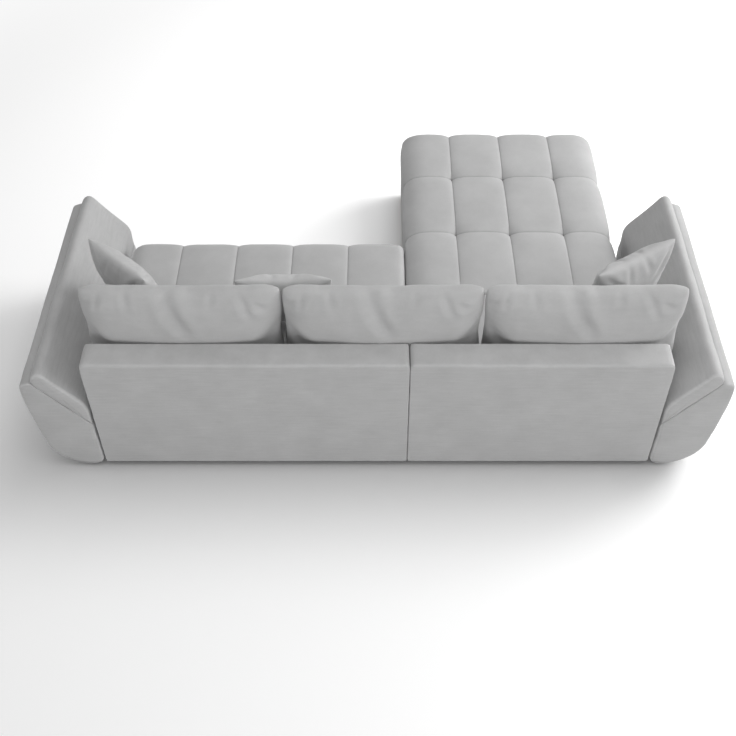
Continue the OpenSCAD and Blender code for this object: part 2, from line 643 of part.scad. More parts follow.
// Feet under the boxes
foot_r = 22;
foot_in = 60;
module feet() color(plastic_c) {
    for (x = [chaise_in0 + foot_in, chaise_in1 - foot_in],
         b = [divide_b + 40, chaise_front - board_t - foot_in])
        translate([x, at_b(b), 0]) cylinder(r = foot_r, h = floor_gap, $fn = fine);
    for (x = [main_x0, main_x1 - board_t], b = [main_b0 + 40, side_end_b - 60])
        translate([x, at_b(b + 30), 0]) cube([board_t, 60, floor_gap]);
    for (x = [chaise_x0 + face_pad_t, chaise_in1])
        translate([x, at_b(rear_b0 + 100), 0]) cube([board_t, 60, floor_gap]);
}

// Bolts that hold the arms to the boxes
// x is the inside of the side board that the heads bear on
module bolt_row(x) for (b = arm_bolt_b) {
    translate([x, at_b(b), bolt_z]) rotate([0, 90, 0])
        cylinder(r = bolt_r, h = inner_x - x + arm_cover_t + board_t, $fn = fine);
    translate([x - bolt_head_t, at_b(b), bolt_z]) rotate([0, 90, 0])
        cylinder(r = bolt_head_r, h = bolt_head_t, $fn = fine);
}
module joining_bolts() color(steel_c) {
    bolt_row(body_x - board_t);
    mirror([1, 0, 0]) bolt_row(-chaise_in0);
}
// Spacers on the bolts fill the space between boxes and arms
spacer_r = 16;
module spacer_row(x) for (b = arm_bolt_b) translate([x, at_b(b), bolt_z]) rotate([0, 90, 0])
    difference() {
        cylinder(r = spacer_r, h = inner_x - x, $fn = fine);
        translate([0, 0, -1]) cylinder(r = bolt_r, h = inner_x - x + 2, $fn = fine);
    }
module arm_spacers() color(plastic_c) {
    spacer_row(body_x);
    mirror([1, 0, 0]) spacer_row(-chaise_x0);
}

// Back cushions stand on the seat, in front of the back, in a row from arm to arm
cushion_w = (2 * inner_x + cushion_over - cushion_end - 2 * side_gap) / 3;
cushion_flat = 20;                  // height of the flattened lower edge above the seam line
cushion_pull = 0.035;
cushion_taper = 0.06;
cushion_sink = 0.4;                 // the lower edge rests on the pad's slope below its crown
cushion_mid_z = seat_h - cushion_sink + cushion_h / 2 - cushion_flat;
cushion_mid_b = back_t + run_gap + cushion_t / 2;
cushion_mid_x = -(cushion_over + cushion_end) / 2;
cushion_step = cushion_w + side_gap;
module back_cushion(i) color(fabric_light_c)
    translate([cushion_mid_x + i * cushion_step, at_b(cushion_mid_b), cushion_mid_z])
        loose_cushion(cushion_w, cushion_h, cushion_t, cushion_pull, cushion_taper,
            cushion_flat, 16, 10);
module back_cushion_main() back_cushion(1);
module back_cushion_middle() back_cushion(0);
module back_cushion_chaise() back_cushion(-1);

// Throw pillows lean in front of the back cushions. A pillow's middle lies at x, and at
// "before" in front of the cushions and "above" over the seat, in widths of a pillow.
pillow_pull = 0.09;
module throw_pillow(x, before, above, roll_a, lean_a, yaw_a) color(fabric_light_c)
    translate([x, at_b(cushion_mid_b + cushion_t / 2 + pillow_w * before), seat_h + pillow_w * above])
        rotate([0, 0, yaw_a]) rotate([lean_a, 0, 0]) rotate([0, roll_a, 0])
            loose_cushion(pillow_w, pillow_w, pillow_t, pillow_pull, 0, 0, 10, 10);
module throw_pillow_arm() throw_pillow(inner_x - pillow_w * 0.339, 0.3617, 0.474, 1.5, -10.3, -37);
module throw_pillow_middle() throw_pillow(pillow_w * 0.9505, 0.1919, 0.4557, 0, -23.3, 1.3);
module throw_pillow_chaise()
    throw_pillow(pillow_w * 0.323 - inner_x, 0.3612, 0.5086, 4.3, -12.3, 30.6);

arm_frame_left();
arm_frame_right();
arm_cover_left();
arm_cover_right();
arm_pad_left();
arm_pad_right();
back_frame_main();
back_frame_chaise();
back_cover_main();
back_cover_chaise();
seat_side_outer();
seat_side_inner();
seat_rear_rail();
seat_frame();
seat_slats();
seat_pad();
guide_rails();
chaise_side_outer();
chaise_side_inner();
chaise_front_board();
chaise_rear_board();
chaise_bottom();
chaise_rear_deck();
chaise_rear_pad();
chaise_face_front();
chaise_face_inner();
chaise_face_outer();
lid_hinges_fixed();
feet();
joining_bolts();
arm_spacers();
drawer_front_board();
drawer_front_face();
drawer_side_outer();
drawer_side_inner();
drawer_bottom();
drawer_rear_board();
drawer_runners();
drawer_strap();
castor_forks();
castor_wheel_1();
castor_wheel_2();
castor_wheel_3();
castor_wheel_4();
lift_brackets();
lift_links();
mattress_platform();
mattress();
lid_board();
lid_pad();
lid_hinges_moving();
back_cushion_main();
back_cushion_middle();
back_cushion_chaise();
throw_pillow_arm();
throw_pillow_middle();
throw_pillow_chaise();
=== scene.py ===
"""Corner sofa bed with a chaise, seen from behind and above, in one light grey velour."""

import math

import bmesh
import bpy
import numpy as np
from mathutils import Matrix, Vector, noise


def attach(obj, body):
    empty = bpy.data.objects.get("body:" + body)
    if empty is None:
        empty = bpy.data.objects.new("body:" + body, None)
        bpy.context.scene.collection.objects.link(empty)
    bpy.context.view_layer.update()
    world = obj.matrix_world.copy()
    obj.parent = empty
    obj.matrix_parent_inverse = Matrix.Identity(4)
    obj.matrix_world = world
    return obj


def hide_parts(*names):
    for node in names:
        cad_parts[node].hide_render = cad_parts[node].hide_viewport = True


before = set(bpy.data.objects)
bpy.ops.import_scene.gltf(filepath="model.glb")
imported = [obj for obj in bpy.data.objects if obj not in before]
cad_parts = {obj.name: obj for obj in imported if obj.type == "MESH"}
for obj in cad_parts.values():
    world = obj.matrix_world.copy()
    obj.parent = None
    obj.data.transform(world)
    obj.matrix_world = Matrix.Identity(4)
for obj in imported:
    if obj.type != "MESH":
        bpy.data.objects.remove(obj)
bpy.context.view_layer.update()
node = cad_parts

# Studio floor, daylight and camera
# The photograph is a cut-out on white with a soft shadow behind and beside the sofa. The
# floor is matt paper that turns plain white 4.5 m out, and two lamps of its own draw the
# shadow. Windows on the chaise's side, a ceiling lamp and a rear lamp light the velour.
FLOOR_SIZE = 40
UNDER_FEET = -0.0005
WHITE_FROM, WHITE_AT = 2.6, 4.5
FRAME_PX = 736
FOCAL_PX = 1044
SHIFT_PX = (-8, -52)
SOFA_MIDDLE = Vector((0, 0.2, 0.3))

# The numbers of a Mix node's two colour inputs and of its colour output
COLOUR_A, COLOUR_B, MIXED = 6, 7, 2


def linear(hex_colour):
    """An sRGB hex value as the linear colour that a shader takes."""
    parts = [int(hex_colour[i:i + 2], 16) / 255 for i in (1, 3, 5)]
    return [c / 12.92 if c <= 0.04045 else ((c + 0.055) / 1.055) ** 2.4 for c in parts] + [1]


def add_node(material, kind, settings=(), links=()):
    """Adds one shader node: settings are (name, value) and links (input name, output socket)."""
    made = material.node_tree.nodes.new("ShaderNode" + kind)
    for name, value in settings:
        if isinstance(name, str) and hasattr(made, name):
            setattr(made, name, value)
        else:
            made.inputs[name].default_value = value
    for name, socket in links:
        material.node_tree.links.new(socket, made.inputs[name])
    return made


def blank_material(name):
    material = bpy.data.materials.new(name)
    material.use_nodes = True
    material.node_tree.nodes.clear()
    return material


paper = blank_material("studio_paper")
ray = add_node(paper, "LightPath")
paper_colour = add_node(
    paper, "Mix", [("data_type", "RGBA"), (COLOUR_A, linear("#B4B4B4")), (COLOUR_B, linear("#FFFFFF"))],
    [(0, ray.outputs["Is Camera Ray"])])
matt = add_node(paper, "BsdfDiffuse", links=[("Color", paper_colour.outputs[MIXED])])
glow = add_node(paper, "Emission", [("Color", linear("#FFFFFF")), ("Strength", 1.0)])
spot = add_node(paper, "TexCoord")
distance = add_node(paper, "VectorMath", [("operation", "LENGTH")], [(0, spot.outputs["Object"])])
far = add_node(paper, "MapRange",
               [("interpolation_type", "SMOOTHSTEP"), ("From Min", WHITE_FROM), ("From Max", WHITE_AT)],
               [("Value", distance.outputs["Value"])])
far_seen = add_node(paper, "Math", [("operation", "MULTIPLY")],
                    [(0, far.outputs[0]), (1, ray.outputs["Is Camera Ray"])])
paper_out = add_node(paper, "MixShader",
                     links=[(0, far_seen.outputs[0]), (1, matt.outputs[0]), (2, glow.outputs[0])])
add_node(paper, "OutputMaterial", links=[("Surface", paper_out.outputs[0])])

bpy.ops.mesh.primitive_plane_add(size=FLOOR_SIZE, location=(0, 0, UNDER_FEET))
floor = bpy.context.object
floor.name = "studio_floor"
floor.data.materials.append(paper)

world = bpy.data.worlds.new("studio_light")
world.use_nodes = True
bpy.context.scene.world = world
world.node_tree.nodes.clear()
sky_ray = add_node(world, "LightPath")
seen = add_node(world, "Math", [("operation", "MAXIMUM")],
                [(0, sky_ray.outputs["Is Camera Ray"]), (1, sky_ray.outputs["Is Glossy Ray"])])
dome = add_node(world, "Background", [("Color", linear("#FFFFFF")), ("Strength", 0.40)])
white = add_node(world, "Background", [("Color", linear("#FFFFFF")), ("Strength", 1.0)])
both = add_node(world, "MixShader",
                links=[(0, seen.outputs[0]), (1, dome.outputs[0]), (2, white.outputs[0])])
add_node(world, "OutputWorld", links=[("Surface", both.outputs[0])])


def soft_lamp(name, place, size, power, falls_on="both"):
    """A square area lamp in metres and watts that falls on the "sofa", the "floor" or "both"."""
    lamp = bpy.data.lights.new(name, "AREA")
    lamp.size = size
    lamp.energy = power
    holder = bpy.data.objects.new(name, lamp)
    bpy.context.scene.collection.objects.link(holder)
    holder.location = place
    holder.rotation_euler = (SOFA_MIDDLE - Vector(place)).to_track_quat("-Z", "Y").to_euler()
    if falls_on != "both":
        lit = bpy.data.collections.new(name + "_falls_on")
        lit.objects.link(floor)
        holder.light_linking.receiver_collection = lit
        lit.collection_objects[0].light_linking.link_state = (
            "INCLUDE" if falls_on == "floor" else "EXCLUDE")


soft_lamp("front_window_lamp", (-5.0, -2.4, 2.4), 3.0, 193)
soft_lamp("ceiling_lamp", (0.0, 0.5, 6.0), 4.0, 67)
soft_lamp("side_window_lamp", (-4.8, 1.8, 2.4), 4.0, 79, "sofa")
soft_lamp("rear_lamp", (0.4, 5.8, 1.3), 3.0, 93, "sofa")
soft_lamp("low_shadow_lamp", (-3.8, -1.0, 4.6), 3.0, 163, "floor")
soft_lamp("high_shadow_lamp", (-1.5, -3.0, 6.0), 3.0, 86, "floor")

# The camera stands behind the sofa, 3.6 m up, and looks 46.6 degrees down
lens = bpy.data.cameras.new("camera")
lens.sensor_width = 36
lens.lens = lens.sensor_width * FOCAL_PX / FRAME_PX
lens.shift_x = SHIFT_PX[0] / FRAME_PX
lens.shift_y = SHIFT_PX[1] / FRAME_PX
camera = bpy.data.objects.new("camera", lens)
camera.location = (0.004, 3.423, 3.603)
camera.rotation_euler = (math.radians(43.4), 0, math.pi)
bpy.context.scene.collection.objects.link(camera)
bpy.context.scene.camera = camera
bpy.context.scene.view_settings.view_transform = "Standard"

# Timber frames, boxes and slats
# The carcass is cut from planed pine and birch plywood, glued and screwed. It stays raw
# inside, so it shows straight grain every 6 mm or so, pale sapwood and a matt surface.
GRAIN = 0.006
GROWTH_RING = 0.035
ALONG_GRAIN = 0.04


def raw_timber(name, base, dark, along):
    """Raw wood with its grain along axis 0, 1 or 2, drawn out 25 times along it."""
    wood = blank_material(name)
    place = add_node(wood, "TexCoord")
    scale = [1.0, 1.0, 1.0]
    scale[along] = ALONG_GRAIN
    stretch = add_node(wood, "Mapping", [("Scale", scale)], [("Vector", place.outputs["Object"])])
    grain = add_node(wood, "TexNoise",
                     [("Scale", 1 / GRAIN), ("Detail", 6.0), ("Roughness", 0.6), ("Distortion", 0.6)],
                     [("Vector", stretch.outputs[0])])
    rings = add_node(wood, "TexNoise", [("Scale", 1 / GROWTH_RING), ("Detail", 3.0)],
                     [("Vector", stretch.outputs[0])])
    grain_share = add_node(wood, "Math", [("operation", "MULTIPLY"), (1, 0.6)], [(0, grain.outputs[0])])
    amount = add_node(wood, "Math", [("operation", "MULTIPLY_ADD"), (1, 0.5)],
                      [(0, rings.outputs[0]), (2, grain_share.outputs[0])])
    ramp = add_node(wood, "MapRange", [("From Min", 0.4), ("From Max", 0.72)],
                    [("Value", amount.outputs[0])])
    colour = add_node(
        wood, "Mix", [("data_type", "RGBA"), (COLOUR_A, linear(base)), (COLOUR_B, linear(dark))],
        [(0, ramp.outputs[0])])
    bump = add_node(wood, "Bump", [("Strength", 0.2), ("Distance", 0.0006)], [("Height", grain.outputs[0])])
    planed = add_node(wood, "BsdfPrincipled", [("Roughness", 0.62), ("IOR", 1.5)],
                      [("Base Color", colour.outputs[MIXED]), ("Normal", bump.outputs[0])])
    add_node(wood, "OutputMaterial", links=[("Surface", planed.outputs[0])])
    return wood


pine_x = raw_timber("planed_pine_lengthwise", "#D9BD8E", "#BE9860", 0)
pine_y = raw_timber("planed_pine_crosswise", "#D9BD8E", "#BE9860", 1)
pine_z = raw_timber("planed_pine_upright", "#D5B888", "#BA945C", 2)
for names, timber in (("seat_rear_rail seat_frame chaise_front_board chaise_rear_board chaise_rear_deck "
                       "chaise_bottom drawer_front_board drawer_bottom drawer_rear_board "
                       "mattress_platform back_frame_main back_frame_chaise", pine_x),
                      ("seat_side_outer seat_side_inner seat_slats chaise_side_outer chaise_side_inner "
                       "drawer_side_outer drawer_side_inner lid_board", pine_y),
                      ("arm_frame_left arm_frame_right", pine_z)):
    for name in names.split():
        node[name].material_slots[0].material = timber

# Zinc-plated steel fittings
# Guide channels, castor forks, lifting links and their brackets, lid hinges and bolts are
# pressed steel with bright zinc: grey metal, cloudy where the zinc's crystals differ.
CRYSTAL = 0.009
zinc = blank_material("zinc_plated_steel")
zinc_place = add_node(zinc, "TexCoord")
spangle = add_node(zinc, "TexNoise", [("Scale", 1 / CRYSTAL), ("Detail", 3.0)],
                   [("Vector", zinc_place.outputs["Object"])])
zinc_tone = add_node(
    zinc, "Mix", [("data_type", "RGBA"), (COLOUR_A, linear("#A9ADB0")), (COLOUR_B, linear("#C6C9CB"))],
    [(0, spangle.outputs[0])])
zinc_rough = add_node(zinc, "MapRange", [("To Min", 0.30), ("To Max", 0.46)],
                      [("Value", spangle.outputs[0])])
zinc_bump = add_node(zinc, "Bump", [("Strength", 0.1), ("Distance", 0.0003)],
                     [("Height", spangle.outputs[0])])
plated = add_node(zinc, "BsdfPrincipled", [("Metallic", 1.0)],
                  [("Base Color", zinc_tone.outputs[MIXED]), ("Roughness", zinc_rough.outputs[0]),
                   ("Normal", zinc_bump.outputs[0])])
add_node(zinc, "OutputMaterial", links=[("Surface", plated.outputs[0])])
for name in ("guide_rails castor_forks lift_brackets lift_links lid_hinges_fixed lid_hinges_moving "
             "joining_bolts").split():
    node[name].material_slots[0].material = zinc

# Moulded plastic castor wheels, runners, spacers and feet
# They are black polypropylene from a spark-eroded mould: a satin skin with a 2 mm grain and
# slightly paler scuffs. The grain is drawn coarser than the real 0.2 mm so that it shows.
SPARK_GRAIN = 0.002
SCUFF = 0.03
moulded = blank_material("moulded_polypropylene")
moulded_place = add_node(moulded, "TexCoord")
eroded = add_node(moulded, "TexNoise", [("Scale", 1 / SPARK_GRAIN), ("Detail", 2.0)],
                  [("Vector", moulded_place.outputs["Object"])])
scuffs = add_node(moulded, "TexNoise", [("Scale", 1 / SCUFF), ("Detail", 5.0)],
                  [("Vector", moulded_place.outputs["Object"])])
scuffed = add_node(
    moulded, "Mix", [("data_type", "RGBA"), (COLOUR_A, linear("#1F1F20")), (COLOUR_B, linear("#353536"))],
    [(0, scuffs.outputs[0])])
eroded_bump = add_node(moulded, "Bump", [("Strength", 0.3), ("Distance", 0.0003)],
                       [("Height", eroded.outputs[0])])
plastic = add_node(moulded, "BsdfPrincipled", [("Roughness", 0.48), ("IOR", 1.49)],
                   [("Base Color", scuffed.outputs[MIXED]), ("Normal", eroded_bump.outputs[0])])
add_node(moulded, "OutputMaterial", links=[("Surface", plastic.outputs[0])])
for name in ("castor_wheel_1 castor_wheel_2 castor_wheel_3 castor_wheel_4 drawer_runners arm_spacers "
             "feet").split():
    node[name].material_slots[0].material = moulded

# Arms
# Each arm is a ladder of boards under foam and velour, with a curved belly, a lip along its
# outer top edge and sewn end panels. The whole sofa wears one light grey polyester velour,
# woven and brushed: matt, cloudy where the nap lies in different ways, with painted highlights
# on its rounded edges and beside seams and painted shade in the seams.
REAR_Y = 0.875
ARM_INNER_X = 1.132
ARM_LENGTH = 1.060
SLOPE_FOOT = (0, 0.275)
NAP_CLOUD = 0.15
BRUSH_STREAK = 0.11
PILE = 0.004


def velour(name, base, cloud, streak, streak_axes):
    """Brushed velour with clouds in the nap, brush streaks, a grain, and painted highlight and shade.

    cloud and streak say how far these lighten or darken it, and streak_axes squeezes the
    streaks across their run. The pile itself is 0.5 mm deep, too fine to show, so its grain
    is drawn at 4 mm."""
    fabric = blank_material(name)
    place = add_node(fabric, "TexCoord")
    clouds = add_node(fabric, "TexNoise", [("Scale", 1 / NAP_CLOUD), ("Detail", 5.0), ("Roughness", 0.62)],
                      [("Vector", place.outputs["Object"])])
    stretch = add_node(fabric, "Mapping", [("Scale", streak_axes)], [("Vector", place.outputs["Object"])])
    streaks = add_node(fabric, "TexNoise",
                       [("Scale", 1 / BRUSH_STREAK), ("Detail", 6.0), ("Roughness", 0.7)],
                       [("Vector", stretch.outputs[0])])
    pile = add_node(fabric, "TexNoise", [("Scale", 1 / PILE), ("Detail", 3.0), ("Roughness", 0.6)],
                    [("Vector", place.outputs["Object"])])
    # Painted light from each mesh: above 0 a painted highlight makes it paler, below 0 painted shade makes
    # it darker
    edge = add_node(fabric, "Attribute", [("attribute_name", "painted_highlight_and_shade")])
    total = None
    for source, low, high, reach in (
            (clouds.outputs[0], 0.32, 0.68, cloud), (streaks.outputs[0], 0.3, 0.7, streak),
            (pile.outputs[0], 0.3, 0.7, 0.02), (edge.outputs["Fac"], -1.0, 1.0, 0.10)):
        part = add_node(fabric, "MapRange",
                        [("clamp", False), ("From Min", low), ("From Max", high),
                         ("To Min", 1 - reach), ("To Max", 1 + reach)], [("Value", source)])
        total = part.outputs[0] if total is None else add_node(
            fabric, "Math", [("operation", "MULTIPLY")], [(0, total), (1, part.outputs[0])]).outputs[0]
    colour = add_node(fabric, "VectorMath", [("operation", "SCALE"), (0, linear(base)[:3])],
                      [("Scale", total)])
    bump_far = add_node(fabric, "Bump", [("Strength", 0.25), ("Distance", 0.004)],
                        [("Height", streaks.outputs[0])])
    bump = add_node(fabric, "Bump", [("Strength", 0.3), ("Distance", 0.0012)],
                    [("Height", pile.outputs[0]), ("Normal", bump_far.outputs[0])])
    cloth = add_node(fabric, "BsdfPrincipled",
                     [("Roughness", 0.88), ("Specular IOR Level", 0.18), ("Sheen Weight", 0.22),
                      ("Sheen Roughness", 0.45)],
                     [("Base Color", colour.outputs[0]), ("Normal", bump.outputs[0])])
    add_node(fabric, "OutputMaterial", links=[("Surface", cloth.outputs[0])])
    return fabric


body_velour = velour("grey_velour_on_frames", "#B9B9B9", 0.045, 0.060, (1, 1, 12))


def arc(cx, cy, r, a0, a1, n):
    """Points round (cx, cy) from a0 to a1 degrees, in n steps."""
    return [(cx + r * math.cos(math.radians(a0 + (a1 - a0) * i / n)),
             cy + r * math.sin(math.radians(a0 + (a1 - a0) * i / n))) for i in range(n + 1)]


def even_outline(outline, spacing):
    """A closed outline with points at even spacing, its corners eased like stretched cloth."""
    closed = np.vstack([outline, outline[:1]])
    dense = []
    for a, b in zip(closed[:-1], closed[1:]):
        n = max(1, int(round(np.linalg.norm(b - a) / (spacing * 0.5))))
        dense += [a + (b - a) * i / n for i in range(n)]
    dense = np.array(dense)
    for _ in range(2):
        dense = (np.roll(dense, 1, 0) + 2 * dense + np.roll(dense, -1, 0)) / 4
    closed = np.vstack([dense, dense[:1]])
    length = np.concatenate([[0], np.cumsum(np.linalg.norm(np.diff(closed, axis=0), axis=1))])
    at = np.linspace(0, length[-1], int(length[-1] / spacing) + 1)[:-1]
    return np.stack([np.interp(at, length, closed[:, k]) for k in (0, 1)], 1)


def outward(points):
    """Unit vectors that point out of a closed anticlockwise outline."""
    along = np.roll(points, -1, 0) - np.roll(points, 1, 0)
    along /= np.linalg.norm(along, axis=1)[:, None]
    return np.stack([along[:, 1], -along[:, 0]], 1)


def to_segment(points, a, b):
    """Distance of each point from the line between a and b."""
    a, b = np.array(a, float), np.array(b, float)
    t = np.clip(((points - a) @ (b - a)) / ((b - a) @ (b - a)), 0, 1)
    return np.linalg.norm(points - a - t[:, None] * (b - a), axis=1)


def cloth_piece(name, points, faces, material, edge):
    """One smooth object; edge is painted light: a painted highlight above 0, painted shade in a seam below
    0.
    """
    mesh = bpy.data.meshes.new(name)
    mesh.from_pydata([tuple(p) for p in points], [], faces)
    work = bmesh.new()
    work.from_mesh(mesh)
    bmesh.ops.recalc_face_normals(work, faces=work.faces)
    work.to_mesh(mesh)
    work.free()
    mesh.polygons.foreach_set("use_smooth", [True] * len(mesh.polygons))
    painted_light = mesh.attributes.new("painted_highlight_and_shade", "FLOAT", "POINT")
    painted_light.data.foreach_set("value", np.array(edge, np.float32))
    mesh.materials.append(material)
    piece = bpy.data.objects.new(name, mesh)
    bpy.context.scene.collection.objects.link(piece)
    return piece


# Rings of an end panel, as shares from its middle to its edge, and of the roll round it, as
# the angle in degrees, how much of the seam's depth it has and how strong the painted
# highlight on the rounded edge is
PANEL_RINGS = (0.12, 0.3, 0.5, 0.7, 0.85, 0.95)
ROLL_RINGS = ((0, 0, 0.2), (6, 1, 0.0), (14, 0, 0.7), (30, 0, 1.0), (50, 0, 0.9), (70, 0, 0.4))
SNUG_REACH = 0.02


def upholstered(name, outline, place, length, edge_r, snug=(), spacing=0.012, step=0.035, ripple=0.0016,
                seam=0.0008, dome=0.003, painted_highlight=1.0):
    """Foam and velour on a frame of one cross-section, with sewn and rounded end panels.

    outline runs anticlockwise and place turns (p, q, along) into a point. edge_r rounds the
    ends, and snug lists the stretches (from, to, radius) that lie tight on a neighbour and
    are hardly rounded. ripple is how deep the foam's hollows are, seam the sewn line at the
    ends, dome the swelling of the end panels, and painted_highlight how strong the painted
    highlight round them is."""
    ring = even_outline(np.array(outline, float), spacing)
    out = outward(ring)
    radius = np.full(len(ring), edge_r)
    for a, b, least in snug:
        near = np.clip(to_segment(ring, a, b) / SNUG_REACH, 0, 1)
        radius = np.minimum(radius, least + (edge_r - least) * near ** 2 * (3 - 2 * near))
    for _ in range(4):
        radius = (np.roll(radius, 1) + 2 * radius + np.roll(radius, -1)) / 4
    middle = ring.mean(0)
    inner = ring - out * radius[:, None]
    rings = []
    for t in PANEL_RINGS:
        rings.append((middle + (inner - middle) * t, np.full(len(ring), dome * (t ** 3 - 1)), 0.0))
    # The third value of each roll ring is a painted highlight on the rounded edge
    for angle, share, pale in ROLL_RINGS:
        a = math.radians(angle)
        sink = seam * share
        rings.append((ring - out * (radius * (1 - math.sin(a)) + sink * 0.5)[:, None],
                      radius * (1 - math.cos(a)) + sink, pale * painted_highlight))
    middle_length = length - 2 * edge_r
    count = max(2, int(middle_length / step))
    straight = [(ring, np.full(len(ring), edge_r + middle_length * i / count), 0.0)
                for i in range(count + 1)]
    every = rings + straight + [(r, length - s, e) for r, s, e in reversed(rings)]
    points, pale = [place(*middle, -dome)], [0.0]
    for r, s, e in every:
        for p, n, along in zip(r, out, s):
            hollow = 2 * ripple * abs(noise.noise(Vector((p[0] * 7, p[1] * 7, along * 5))))
            q = p - n * hollow
            points.append(place(q[0], q[1], along))
            pale.append(e)
    points.append(place(*middle, length + dome))
    pale.append(0.0)
    n = len(ring)
    faces = [(0, 1 + (i + 1) % n, 1 + i) for i in range(n)]
    for k in range(len(every) - 1):
        a, b = 1 + k * n, 1 + (k + 1) * n
        faces += [(a + i, a + (i + 1) % n, b + (i + 1) % n, b + i) for i in range(n)]
    last = 1 + (len(every) - 1) * n
    faces += [(len(points) - 1, last + i, last + (i + 1) % n) for i in range(n)]
    return cloth_piece(name, points, faces, body_velour, pale)


ARM_SOLE = arc(0.034, 0.050, 0.034, 180, 270, 6)
ARM_BELLY = arc(0.050, 0.181, 0.167, -90, -6, 16) + [
    (0.2205, 0.200), (0.2265, 0.245), (0.2338, 0.300), (0.2397, 0.360), (0.2436, 0.420), (0.2447, 0.450)]
ARM_LIP = [(0.245, 0.480), (0.243, 0.510), (0.236, 0.5225), (0.195, 0.535)]
SHELL_PROUD = 0.002
for side, sign in (("left", 1), ("right", -1)):
    shell = upholstered(f"arm_shell_{side}", ARM_SOLE + ARM_BELLY + ARM_LIP + [SLOPE_FOOT],
                        lambda p, q, s: (sign * (ARM_INNER_X + p), REAR_Y + SHELL_PROUD - s, q),
                        length=ARM_LENGTH + SHELL_PROUD, edge_r=0.010,
                        snug=[(SLOPE_FOOT, (0.19, 0.528), 0.002), ((0.03, 0.016), (0.1, 0.014), 0.004)])
    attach(shell, "sofa")
    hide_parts(f"arm_cover_{side}", f"arm_frame_{side}")

# Sloped arm pads
# A thick foam pad in velour is glued on each arm's slope. It is soft over its head, deep
# over its foot, and its ends are flush with the arm's, so only a fine line parts them.
SLOPE = Vector((0.6, 0.8))
UP = Vector((-0.8, 0.6))
TILT = math.degrees(math.atan2(0.8, 0.6))
FOOT_R = 0.095
FOOT_THICK = 0.068
HEAD_R = 0.026
PAD_INNER = 0.002
PAD_PROUD = 0.001


def on_slope(along, up):
    """A point of the arm's cross-section, given along its slope and up from it."""
    return Vector(SLOPE_FOOT) + SLOPE * along + UP * up


foot_up = FOOT_THICK - FOOT_R
foot_middle = on_slope((FOOT_R + PAD_INNER - UP.x * foot_up) / SLOPE.x, foot_up)
head_middle = on_slope(0.321, 0.042)
PAD_FOOT = (PAD_INNER, 0.2786)
PAD_HEAD = tuple(on_slope(0.323, 0.0008))
PAD_OUTLINE = ([PAD_FOOT, PAD_HEAD, tuple(on_slope(0.341, 0.016))]
               + arc(*head_middle, HEAD_R, TILT - 5, TILT + 90, 8)
               + arc(*foot_middle, FOOT_R, TILT + 90, 180, 10))
for side, sign in (("left", 1), ("right", -1)):
    pad = upholstered(f"arm_cushion_{side}", PAD_OUTLINE,
                      lambda p, q, s: (sign * (ARM_INNER_X + p), REAR_Y + PAD_PROUD - s, q),
                      length=ARM_LENGTH - 2 * PAD_PROUD, edge_r=0.013, snug=[(PAD_FOOT, PAD_HEAD, 0.002)],
                      ripple=0.003)
    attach(pad, "sofa")
    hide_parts(f"arm_pad_{side}")

# Backs
# The back stands in two sections behind the two seats: a ladder frame, foam and velour,
# flat behind, with a level ledge on top and an outer end that leans in a little.
BACK_THICK = 0.118
BACK_FOOT = 0.028
BACK_TOP = 0.637
BACK_END = 1.127
BACK_TOP_END = BACK_END - 0.005
OUTER_ROUND = 0.014
INNER_ROUND = 0.0084


def back_outline(x0):
    """The back seen from behind, from its inner end x0 to its outer end."""
    return [(x0, BACK_FOOT), (BACK_END, BACK_FOOT), (BACK_TOP_END, BACK_TOP - OUTER_ROUND),
            (BACK_TOP_END - 0.0042, BACK_TOP - 0.0042), (BACK_TOP_END - OUTER_ROUND, BACK_TOP),
            (x0 + INNER_ROUND, BACK_TOP), (x0, BACK_TOP - INNER_ROUND)]


for name, x0, sign in (("main", -0.1245, 1), ("chaise", 0.1255, -1)):
    back = upholstered(f"back_shell_{name}", back_outline(x0),
                       lambda p, q, s: (sign * p, REAR_Y - s, q), length=BACK_THICK, edge_r=0.012,
                       snug=[((x0, BACK_FOOT), (BACK_END, BACK_FOOT), 0.002),
                             ((x0, BACK_FOOT), (x0, BACK_TOP), 0.005),
                             ((BACK_END, BACK_FOOT), (BACK_TOP_END, BACK_TOP - 0.03), 0.005)],
                       spacing=0.014, step=0.03, ripple=0.0012, seam=0.0, painted_highlight=0.2)
    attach(back, "sofa")
    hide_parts(f"back_cover_{name}", f"back_frame_{name}")

# Quilted seat pads
# Foam pads in sewn channels carry the sitters. The seams are stitched down to the foam, and
# deeper where they cross, so each cell puffs up between them and rolls over the edges. The
# cover wraps the board below. The nap is brushed smooth, with hardly a streak.
SEAT_TOP = 0.425
PAD_BASE = 0.2563
CELL = [0, 0.008, 0.02, 0.04, 0.07, 0.11, 0.17, 0.25, 0.37,
        0.5, 0.63, 0.75, 0.83, 0.89, 0.93, 0.96, 0.98, 0.992]
WALL_RINGS = (0.05, 0.13, 0.25, 0.4, 0.55, 0.7, 0.83, 0.93, 1.0)
TUFT = 0.016
# Its grey is a shade paler than the frames' velour: painted light on the seat tops
seat_velour = velour("grey_velour_on_seats", "#BDBDBD", 0.045, 0.02, (1, 1, 1))


def cell_lines(borders):
    """The mesh lines of a row of cells, close together beside the seams."""
    lines = [a + f * (b - a) for a, b in zip(borders[:-1], borders[1:]) for f in CELL]
    return np.array(lines + [borders[-1]])


def to_seam(borders, at):
    """How near a place is to a seam, 1 on the seam and 0 in the middle of a cell."""
    borders = np.array(borders)
    k = np.clip(np.searchsorted(borders, at + 1e-9, side="right") - 1, 0, len(borders) - 2)
    return np.abs(2 * (at - borders[k]) / (borders[k + 1] - borders[k]) - 1)


def rolled(distance, reach, drop):
    """How far a pad's top falls at a distance from its edge, over a quarter ellipse."""
    d = np.clip(distance / reach, 0, 1)
    return drop * (1 - np.sqrt(np.maximum(0, 1 - (1 - d) ** 2)))


